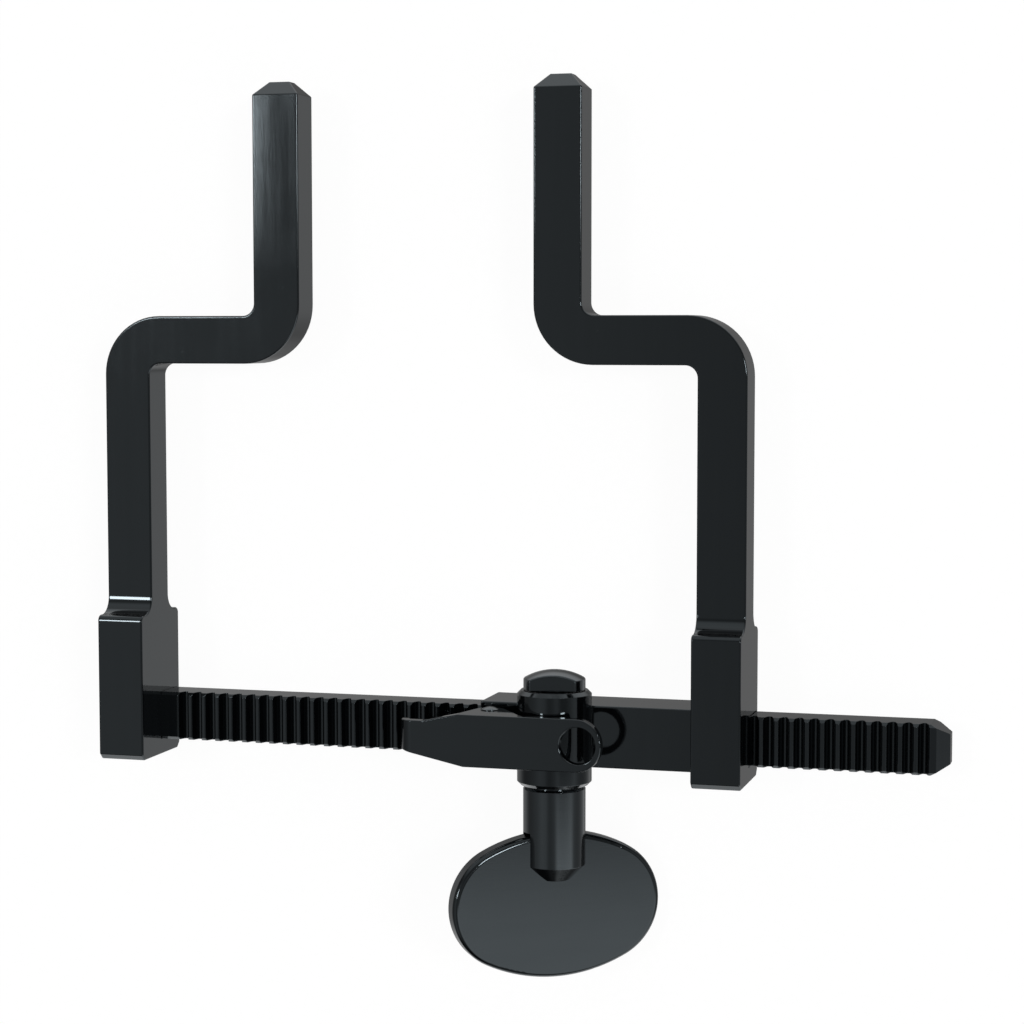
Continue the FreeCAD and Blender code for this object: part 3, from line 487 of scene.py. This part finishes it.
@dataclass
class Studio:
    """Light by direction round the instrument, and a white floor.

    A strip is an angle and its strength. The angles of strips, foot_sides and windows are
    in degrees round the Y axis, from straight above the instrument, and their softness is
    in radians. The horizon ranges are Z parts of a direction of length one, and the other
    edges, ends and tilts are its Y parts: head edges along Y, foot edges against it. The
    first low light is at the foot's side and the second at the head's side.
    """

    strips: tuple[Range, ...] = (
        (-180, 0.18), (-166, 0.23), (-154, 0.36), (-140, 0.28), (-116, 0.48), (-100, 0.24),
        (-88, 0.16), (-74, 0.22), (-62, 0.28), (-50, 0.33), (-39, 0.45), (-30, 0.50),
        (-22, 0.45), (-17, 0.46), (-11, 0.34), (-3, 0.23), (6, 0.27), (14, 0.33), (21, 0.42),
        (27, 0.33), (34, 0.18), (44, 0.16), (56, 0.20), (67, 0.32), (79, 0.50), (90, 0.40),
        (105, 0.24), (125, 0.27), (145, 0.50), (155, 0.68), (163, 0.30), (180, 0.18),
    )
    foot_light: float = 1.5
    foot_edge: Range = (0.165, 0.25)
    foot_sides: Range = (22.0, 85.0)
    foot_softness: float = 0.15
    foot_end: Range = (0.55, 0.8)
    foot_end_loss: float = 0.9
    horizon: Range = (-0.05, 0.15)
    head_edge: Range = (0.15, 0.45)
    head_share: float = 0.62
    crown_light: float = 0.5
    crown_edge: Range = (0.45, 0.75)
    low_light: Range = (1.0, 0.5)
    low_edge: Range = (0.3, 0.6)
    low_horizon: Range = (0.06, -0.09)
    windows: tuple[Range, ...] = ((-29.0, -22.4), (34.0, 46.0))
    window_softness: float = 0.01
    window_tilt: Range = (0.05, 0.22)
    window_tilt_softness: float = 0.02
    window_light: float = 22.0
    floor_size: float = 12.0
    floor_glow: float = 0.95
    floor_tones: Range = (0.065, 0.075)
    grain_scale: float = 900.0
    grain_range: Range = (0.3, 0.7)
    made: list[bpy.types.Object] = field(default_factory=list)

    def build(self) -> None:
        """Build the light and the floor."""
        bpy.context.scene.view_settings.view_transform = "Standard"
        self.build_lights()
        self.build_floor()

    def build_lights(self) -> None:
        """Light by direction.

        The angle round the Y axis picks the strip light. Towards the foot it gives way to
        the foot light, towards the head it is dimmed and the crown light comes in, and
        below the horizon both ends have a low light. The windows make the small glints.
        """
        world = bpy.data.worlds.new("strip_lights")
        world.use_nodes = True
        bpy.context.scene.world = world
        tree = world.node_tree
        graph = Graph(tree)
        way = graph.add("ShaderNodeTexCoord").outputs["Generated"]
        parts = graph.add("ShaderNodeSeparateXYZ", {"Vector": way}).outputs
        angle = graph.math("ARCTAN2", parts["X"], parts["Z"])
        down = graph.math("MULTIPLY", parts["Y"], -1.0)

        steep = graph.spread(down, *self.foot_end, 0.0, 1.0)
        dark = graph.math("MULTIPLY", steep, graph.spread(parts["Z"], *self.horizon, 0.0, 1.0))
        far = graph.math("MULTIPLY_ADD", dark, -self.foot_end_loss, 1.0)
        foot = graph.math(
            "MULTIPLY",
            graph.math("MULTIPLY", graph.spread(down, *self.foot_edge, 0.0, 1.0), far),
            self.sector(graph, angle, self.foot_sides, self.foot_softness),
        )
        head = graph.spread(parts["Y"], *self.head_edge, 1.0, self.head_share)
        around = graph.math("MULTIPLY", self.strip_light(graph, angle), head)
        around = graph.math("MULTIPLY", around, far)
        more = graph.math("SUBTRACT", self.foot_light, around)
        light = graph.math("MULTIPLY_ADD", more, foot, around)
        crown = graph.spread(parts["Y"], *self.crown_edge, 0.0, self.crown_light)
        light = graph.math("ADD", light, crown)
        light = graph.math("ADD", light, self.low_share(graph, down, parts))
        tilt = self.pane(graph, parts["Y"], self.window_tilt, self.window_tilt_softness)
        for window in self.windows:
            pane = self.sector(graph, angle, window, self.window_softness)
            pane = graph.math("MULTIPLY", pane, tilt)
            light = graph.math("MULTIPLY_ADD", pane, self.window_light, light)

        eye = graph.add("ShaderNodeLightPath").outputs["Is Camera Ray"]
        unseen = graph.math("MULTIPLY", light, graph.math("SUBTRACT", 1.0, eye))
        background = tree.nodes["Background"]
        background.inputs["Color"].default_value = (1.0, 1.0, 1.0, 1.0)
        graph.feed(background, "Strength", graph.math("ADD", unseen, eye))
        LOG.info("strip lights built")

    def strip_light(self, graph: Graph, angle: Any) -> bpy.types.NodeSocket:
        """Strength of the strip lights.

        Args:
            graph: tree that the nodes go into.
            angle: the direction's angle round the Y axis.

        Returns:
            The strength's socket.
        """
        turn = graph.math("MULTIPLY_ADD", angle, 0.5 / math.pi, 0.5)
        ramp = graph.add("ShaderNodeValToRGB", {"Fac": turn})
        ramp.color_ramp.interpolation = "B_SPLINE"
        stops = ramp.color_ramp.elements
        ready = len(stops)
        for number, (degrees, light) in enumerate(self.strips):
            place = degrees / 360 + 0.5
            stop = stops[number] if number < ready else stops.new(place)
            stop.position = place
            stop.color = (light, light, light, 1.0)
        return ramp.outputs["Color"]

    def low_share(
        self, graph: Graph, down: Any, parts: bpy.types.NodeOutputs
    ) -> bpy.types.NodeSocket:
        """Light from below the horizon, at the foot's side and at the head's side.

        Args:
            graph: tree that the nodes go into.
            down: share of the direction that points to the foot.
            parts: the direction's three parts.

        Returns:
            The added light's socket.
        """
        foot_side, head_side = self.low_light
        at_foot = graph.spread(down, *self.low_edge, 0.0, foot_side)
        at_head = graph.spread(parts["Y"], *self.low_edge, 0.0, head_side)
        below = graph.spread(parts["Z"], *self.low_horizon, 0.0, 1.0)
        return graph.math("MULTIPLY", graph.math("ADD", at_foot, at_head), below)

    @staticmethod
    def pane(graph: Graph, value: Any, sides: Range, edge: float) -> bpy.types.NodeSocket:
        """One between two sides and nothing beyond them, with soft edges.

        Args:
            graph: tree that the nodes go into.
            value: socket that is tested.
            sides: low and high side.
            edge: half the width of each soft edge.

        Returns:
            The mask's socket.
        """
        low, high = sides
        rise = graph.spread(value, low - edge, low + edge, 0.0, 1.0)
        fall = graph.spread(value, high - edge, high + edge, 1.0, 0.0)
        return graph.math("MULTIPLY", rise, fall)

    @staticmethod
    def sector(graph: Graph, angle: Any, sides: Range, edge: float) -> bpy.types.NodeSocket:
        """Pane between two angles that are given in degrees, with its edge in radians."""
        low, high = sides
        return Studio.pane(graph, angle, (math.radians(low), math.radians(high)), edge)

    def build_floor(self) -> None:
        """White floor for the camera, which reflections pass through to the lights below."""
        half = self.floor_size / 2
        mesh = bpy.data.meshes.new("floor")
        mesh.from_pydata(
            [(-half, -half, 0), (half, -half, 0), (half, half, 0), (-half, half, 0)],
            [],
            [(0, 1, 2, 3)],
        )
        floor = bpy.data.objects.new("floor", mesh)
        bpy.context.scene.collection.objects.link(floor)
        material = bpy.data.materials.new("pale_floor")
        material.use_nodes = True
        tree = material.node_tree
        tree.nodes.clear()
        graph = Graph(tree)
        place = graph.add("ShaderNodeTexCoord").outputs["Object"]
        grain = graph.noise(place, self.grain_scale, 3.0)
        tone = graph.spread(grain, *self.grain_range, *self.floor_tones)
        shade = graph.add("ShaderNodeBsdfDiffuse", {"Color": tone})
        glow = graph.add("ShaderNodeEmission", {"Strength": self.floor_glow})
        lit = graph.add("ShaderNodeAddShader", {0: shade.outputs[0], 1: glow.outputs[0]})
        clear = graph.add("ShaderNodeBsdfTransparent")
        eye = graph.add("ShaderNodeLightPath").outputs["Is Camera Ray"]
        mixed = graph.add(
            "ShaderNodeMixShader", {0: eye, 1: clear.outputs[0], 2: lit.outputs[0]}
        )
        graph.add("ShaderNodeOutputMaterial", {"Surface": mixed.outputs[0]})
        mesh.materials.append(material)
        self.made.append(floor)
        LOG.info("floor built")


@dataclass
class SubAssembly:
    """Pieces that share a body, and the finish that each of them has."""

    body: str = ""
    finishes: dict[str, Finish] = field(default_factory=dict)

    def build(self, frame: dict[str, Any], coats: Finishes) -> None:
        """Dress the sub-assembly's pieces.

        Args:
            frame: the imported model.
            coats: the instrument's materials.
        """
        for name, finish in self.finishes.items():
            coats.dress(frame["nodes"][name], finish)
            LOG.info("%s: %s dressed in %s", self.body, name, finish.value)


@dataclass
class BarAndFixedArm(SubAssembly):
    """Toothed bar with the arm that stays in place on it."""

    body: str = "bar_body"
    finishes: dict[str, Finish] = field(default_factory=lambda: {
        "rack_bar": Finish.MILLED,
        "fixed_arm": Finish.POLISHED,
        "bar_lock_pins": Finish.STEEL,
    })


@dataclass
class SlidingArm(SubAssembly):
    """Arm that slides on the bar, with the pinion's housing."""

    body: str = "slider"
    finishes: dict[str, Finish] = field(default_factory=lambda: {
        "moving_arm": Finish.POLISHED,
        "pinion_housing": Finish.POLISHED,
        "housing_pins": Finish.STEEL,
    })


@dataclass
class PinionDrive(SubAssembly):
    """Pinion shaft with its cap screw and the oval key plate."""

    body: str = "pinion"
    finishes: dict[str, Finish] = field(default_factory=lambda: {
        "pinion_shaft": Finish.TURNED,
        "cap_screw": Finish.TURNED,
        "key_plate": Finish.SPRUNG,
    })


@dataclass
class PawlLever(SubAssembly):
    """Lever that locks the bar, on its pin and spring."""

    body: str = "pawl"
    finishes: dict[str, Finish] = field(default_factory=lambda: {
        "pawl_lever": Finish.SPRUNG,
        "pawl_pivot_pin": Finish.TURNED,
        "pawl_spring": Finish.STEEL,
    })


def main() -> None:
    """Load the frame, build the camera and the studio, then build every sub-assembly in order.
    """
    logging.basicConfig(level=logging.INFO, format="%(name)s: %(message)s")
    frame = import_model()
    coats = Finishes()
    Camera().build()
    Studio().build()
    for assembly in (BarAndFixedArm(), SlidingArm(), PinionDrive(), PawlLever()):
        assembly.build(frame, coats)


if __name__ == "__main__":
    main()
